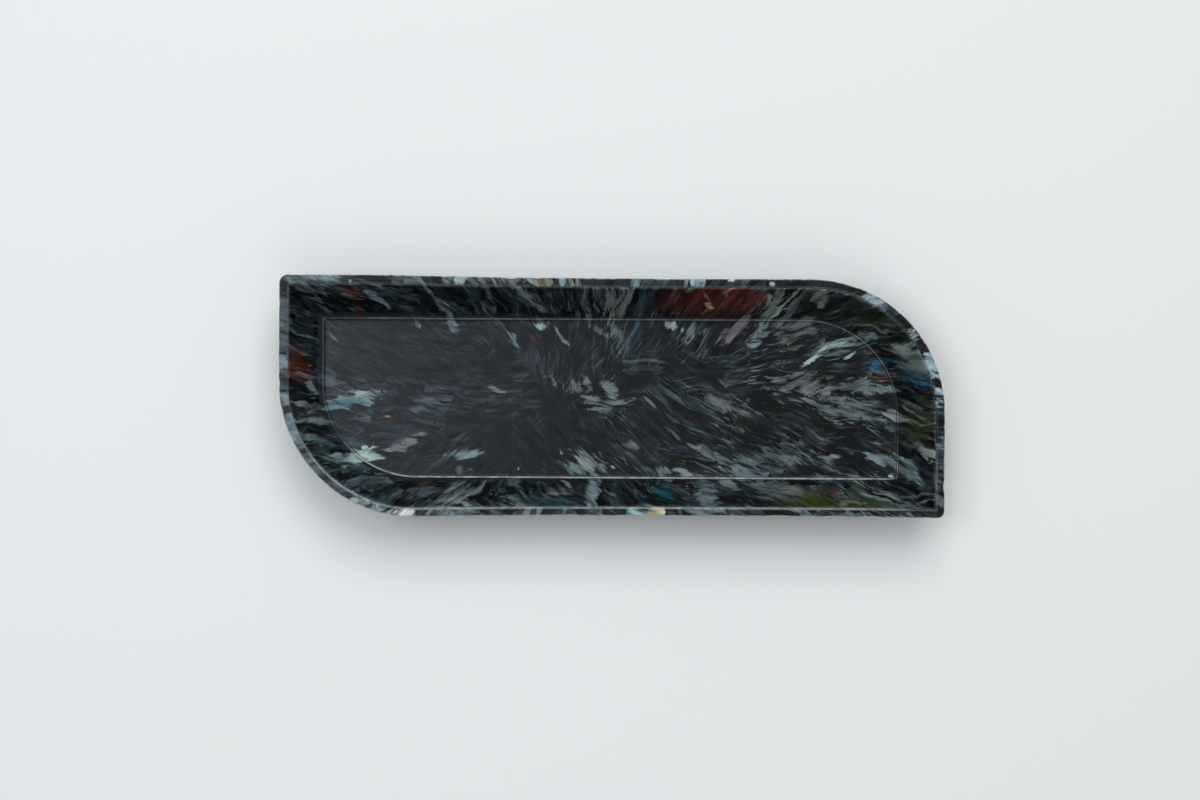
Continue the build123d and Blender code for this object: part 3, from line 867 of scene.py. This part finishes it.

    # Rubbed edges and painted highlight: the rim's two edges and the crest of the seam line are paler, partly
    # wear and partly a painted highlight, strongest at the front; the seam line's flanks get painted shade
    # Painted highlight: the pale edges are stronger at the front and weaker at the seam line's ends
    rubAndHighlight = times(tree, ramp(tree, noiseField(tree, place, 0.35, 3.0, 0.6), 0.4, 0.6, 0.5, 1.0),
                ramp(tree, y, -14.0, -24.0, 0.25, 1.0), ramp(tree, x, 86.0, 103.0, 1.0, 0.3))
    edge = times(tree, ramp(tree, level, rim - 0.9, rim - 0.5), ramp(tree, facing, 0.992, 0.93))
    belowWall = ramp(tree, level, floor + 0.4, floor + 0.5, 1.0, 0.0)
    crest = times(tree, ramp(tree, level, floor + 0.16, floor + 0.28), ramp(tree, facing, 0.82, 0.94),
                  belowWall, ramp(tree, x, -92.0, -80.0, 0.3, 1.0), ramp(tree, x, 92.5, 95.0, 1.0, 0.3))
    # Painted shade: the seam line's flanks, at its foot, are darkened
    flankShade = times(tree, ramp(tree, facing, 0.97, 0.9, 0.0, 0.6),
                  ramp(tree, level, floor + 0.02, floor + 0.06), belowWall)
    colour = blendColours(tree, flankShade, combed.outputs[0], toLinear(look["seamShadeColour"]))
    rimWearAndHighlight, seamWearAndHighlight = look["edgeWearAndHighlight"]
    edge = maths(tree, "MULTIPLY_ADD", crest, seamWearAndHighlight, maths(tree, "MULTIPLY", edge, rimWearAndHighlight))
    colour = blendColours(tree, times(tree, edge, inside, rubAndHighlight), colour, toLinear(look["wornHighlightColour"]))

    # Scuffs on the rim's outer edge
    outward = dot(tree, normal, place)
    outerEdge = times(tree, ramp(tree, facing, 0.99, 0.94), ramp(tree, level, rim - 0.8, rim - 0.6),
                      ramp(tree, outward, level, maths(tree, "ADD", level, 1.0)))
    scuff = times(tree, outerEdge, ramp(tree, noiseField(tree, place, 0.4, 4.0, 0.65), 0.5, 0.6, 0.05, 0.6))
    colour = blendColours(tree, scuff, colour, toLinear(look["scuffColour"]))
    feed(tree, shader.inputs["Base Color"], colour)
    finishSkin(tree, shader, placeGroup(tree, mouldedSkin, Place=place, Grain=look["grain"]), look)
    return material


tray.data.materials.append(marbledPlastic(marble, trayShape))
print("marbled plastic:", len(smears) + len(rimChips), "smears,", len(marble["streaks"]), "kinds of streak")


# Feet

footShape = {
    "edgeRound": 0.6,            # mm
    "sideTaper": 0.28,
    "topLip": [(0.0, 0.0), (0.02, 0.12), (0.08, 0.2)],  # mm in from the widest and down from the top
    "hollow": (0.7, 0.62, 0.1),  # dished middle: its edge and floor as shares of the width, and its depth
    "roundSteps": 6,
    "segments": 64,
    "colour": (34, 34, 36),
    "dustColour": (78, 78, 76),
    "dust": 0.35,
    "grain": 0.25,
    "roughness": (0.6, 0.8),
    "gloss": 0.35,
    "bump": 0.4,
}


def footRubber(look):
    material, tree, shader = newMaterial("footRubber")
    place = placeInMm(tree)[0]
    skin = placeGroup(tree, mouldedSkin, Place=place, Grain=look["grain"])
    dusty = ramp(tree, skin["Wear"], 0.4, 0.75, 0.0, look["dust"])
    colour = blendColours(tree, dusty, toLinear(look["colour"]), toLinear(look["dustColour"]))
    feed(tree, shader.inputs["Base Color"], colour)
    finishSkin(tree, shader, skin, look)
    return material


def buildFoot(shape, nodeName, material):
    low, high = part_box(nodeName)
    middle = (low + high) / 2
    radius, top, bottom = (high.x - low.x) / 2, high.z, low.z
    edge, taper = shape["edgeRound"] * mm, shape["sideTaper"] * mm
    flat = radius - taper - edge
    section = [(radius - back * mm, top - drop * mm) for back, drop in shape["topLip"]]
    section.append((radius - taper * 0.6, (top + bottom) / 2))
    for step in range(shape["roundSteps"] + 1):
        turn = math.pi / 2 * step / shape["roundSteps"]
        section.append((flat + edge * math.cos(turn), bottom + edge - edge * math.sin(turn)))
    hollowEdge, hollowFloor, depth = shape["hollow"]
    section.append((flat * hollowEdge, bottom))
    section.append((flat * hollowFloor, bottom + depth * mm))
    count = shape["segments"]
    verts, faces = [], []
    for reach, level in section:
        for step in range(count):
            turn = 2 * math.pi * step / count
            verts.append((middle.x + reach * math.cos(turn), middle.y + reach * math.sin(turn), level))
    for ring in range(len(section) - 1):
        near, far = ring * count, (ring + 1) * count
        for step in range(count):
            after = (step + 1) % count
            faces.append((near + step, far + step, far + after, near + after))
    faces.append(tuple(range(count)))
    faces.append(tuple(reversed(range(len(verts) - count, len(verts)))))
    mesh = bpy.data.meshes.new(nodeName + "_rubber")
    mesh.from_pydata(verts, [], faces)
    mesh.shade_smooth()
    mesh.set_sharp_from_angle(angle=math.radians(50))
    mesh.materials.append(material)
    foot = bpy.data.objects.new(nodeName + "_rubber", mesh)
    bpy.context.collection.objects.link(foot)
    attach(foot, "root")
    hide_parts(nodeName)


rubber = footRubber(footShape)
for nodeName in ("foot_back_left", "foot_back_right", "foot_front_left", "foot_front_right"):
    buildFoot(footShape, nodeName, rubber)
print("feet: 4")


# Stage

stageLook = {
    "floorReach": 4.0,           # metres
    "floorColour": (0.788, 0.81, 0.806),
    "floorRoughness": 0.9,
    "floorGloss": 0.1,
    "roomStrength": 0.34,
    # place in metres, size in metres, power in watts, colour
    "softLights": {
        "overheadSoftbox": ((-0.42, 0.12, 1.1), 0.55, 3.6, (0.91, 0.98, 1.06)),
        "backSoftbox": ((0.16, 0.9, 1.3), 1.0, 13.2, (1.0, 1.0, 1.0)),
        "frontFill": ((0.12, -0.8, 1.2), 0.8, 1.9, (1.0, 1.0, 1.0)),
    },
}


def buildStage(look):
    reach = look["floorReach"]
    mesh = bpy.data.meshes.new("studioFloor")
    corners = [(-reach, -reach, 0), (reach, -reach, 0), (reach, reach, 0), (-reach, reach, 0)]
    mesh.from_pydata(corners, [], [(0, 1, 2, 3)])
    floor = bpy.data.objects.new("studioFloor", mesh)
    bpy.context.collection.objects.link(floor)
    material, _, shader = newMaterial("paleFloor")
    shader.inputs["Base Color"].default_value = (*look["floorColour"], 1)
    shader.inputs["Roughness"].default_value = look["floorRoughness"]
    shader.inputs["Specular IOR Level"].default_value = look["floorGloss"]
    mesh.materials.append(material)
    for name, (place, size, power, colour) in look["softLights"].items():
        data = bpy.data.lights.new(name, "AREA")
        data.shape = "SQUARE"
        data.size = size
        data.energy = power
        data.color = colour
        light = bpy.data.objects.new(name, data)
        light.location = place
        light.rotation_euler = (-Vector(place)).to_track_quat("-Z", "Y").to_euler()
        bpy.context.collection.objects.link(light)
    world = bpy.data.worlds.new("softRoom")
    world.use_nodes = True
    background = world.node_tree.nodes["Background"]
    background.inputs["Color"].default_value = (1, 1, 1, 1)
    background.inputs["Strength"].default_value = look["roomStrength"]
    bpy.context.scene.world = world


cameraView = {
    "place": (-3.9, -1.0, 774.0),  # mm
    "turn": 0.30,                  # degrees
    "lens": 68.4,                  # mm, on a sensor of the width below
    "sensorWidth": 36,
}


def buildCamera(view):
    data = bpy.data.cameras.new("overheadCamera")
    data.sensor_width = view["sensorWidth"]
    data.lens = view["lens"]
    data.clip_start = 0.01
    camera = bpy.data.objects.new("overheadCamera", data)
    camera.location = Vector(view["place"]) * mm
    camera.rotation_euler = (0, 0, math.radians(view["turn"]))
    bpy.context.collection.objects.link(camera)
    bpy.context.scene.camera = camera


buildStage(stageLook)
buildCamera(cameraView)
bpy.context.scene.view_settings.view_transform = "Standard"
print("stage, light and camera set")
